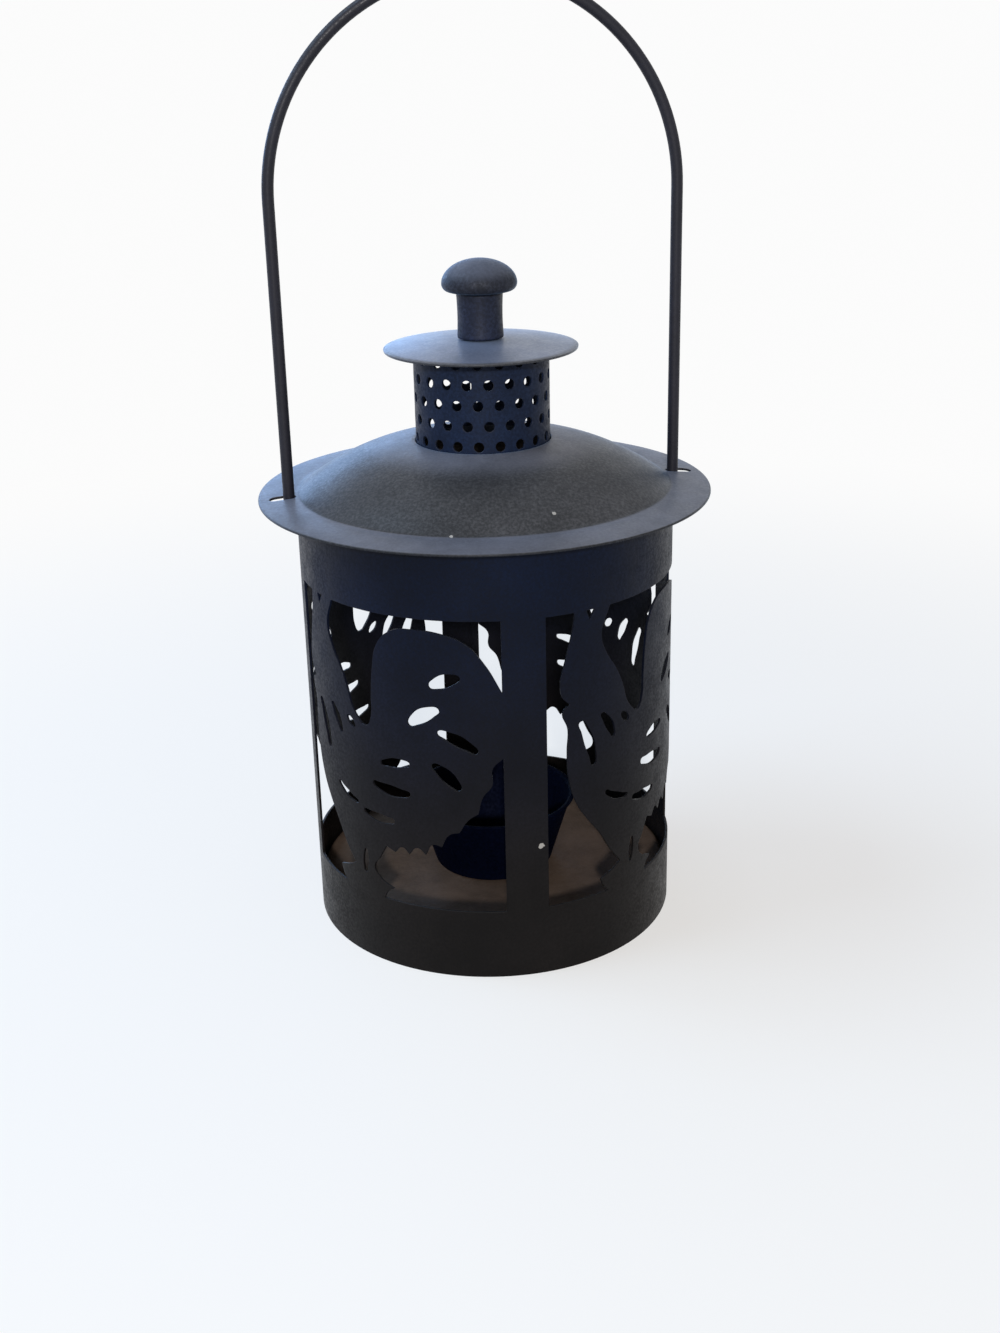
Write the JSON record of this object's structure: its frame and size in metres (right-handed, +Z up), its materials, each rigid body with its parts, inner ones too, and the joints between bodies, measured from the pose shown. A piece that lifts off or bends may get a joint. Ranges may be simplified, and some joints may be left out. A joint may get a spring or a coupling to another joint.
{
  "type": "candle lantern",
  "caption": "Round sheet-metal candle lantern with pierced bird panels, a conical vented lid that slides up the wire bail, a mushroom knob and an inner candle cup.",
  "frame": {"origin": "centre of the resting edge, on the surface that the lantern stands on", "axes": "+Z up the lantern's axis, -Y towards the post between the two front panels, X along the bail's hinge line"},
  "size_m": [0.1196, 0.1196, 0.2488],
  "materials": {
    "drum_paint": "satin black paint",
    "lid_paint": "fine-textured matte black paint, greyer where dusty",
    "inner_paint": "matte black paint",
    "cup_paint": "satin black paint",
    "wire_paint": "satin black paint",
    "bare_steel": "plated steel"
  },
  "bodies": {
    "lantern_body": {"body_wall": "drum_paint", "floor_pan": "inner_paint", "candle_cup": "cup_paint", "cup_rivet": "bare_steel"},
    "bail": {"bail": "wire_paint"},
    "lid": {"roof": "lid_paint", "lid_ring": "inner_paint", "vent_collar": "drum_paint", "cap_disc": "lid_paint", "knob_stem": "drum_paint", "knob": "lid_paint", "knob_screw": "bare_steel", "knob_washer": "bare_steel"}
  },
  "joints": [
    {"name": "bail_hinge", "type": "hinge", "parent": "lantern_body", "child": "bail", "pos_m": [0, 0, 0.1147], "axis": [1, 0, 0], "range_deg": [-0.25, 0.25]},
    {"name": "lid_slide", "type": "slide", "parent": "bail", "child": "lid", "axis": [0, 0, 1], "range_m": [0, 0.0657]}
  ]
}
